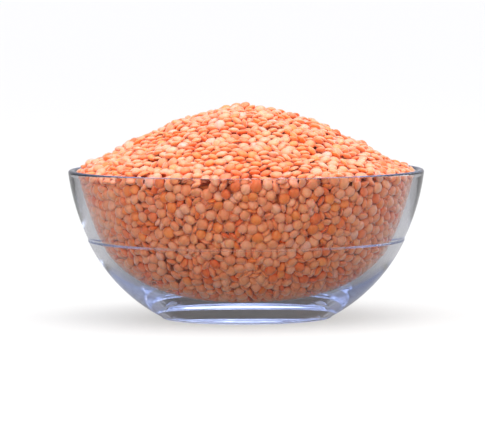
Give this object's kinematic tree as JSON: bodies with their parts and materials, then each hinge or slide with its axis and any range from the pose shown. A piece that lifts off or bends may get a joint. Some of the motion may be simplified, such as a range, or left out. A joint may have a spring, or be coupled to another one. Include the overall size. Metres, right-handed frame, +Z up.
{
  "type": "bowl of dry lentils",
  "caption": "Round clear glass bowl with a thick foot and a fine ridge round its side, heaped above its rim with dry hulled red lentils.",
  "frame": {"origin": "where the bowl's axis meets the surface it stands on", "axes": "+Z up along the bowl's axis; the side shown in the picture faces -Y, with +X to its right"},
  "size_m": [0.14, 0.14, 0.085],
  "materials": {
    "glass": "clear pressed glass, fire polished",
    "lentils": "dry hulled red lentils with a soft satin surface"
  },
  "bodies": {
    "root": {"bowl": "glass", "lentils": "lentils"}
  },
  "joints": []
}
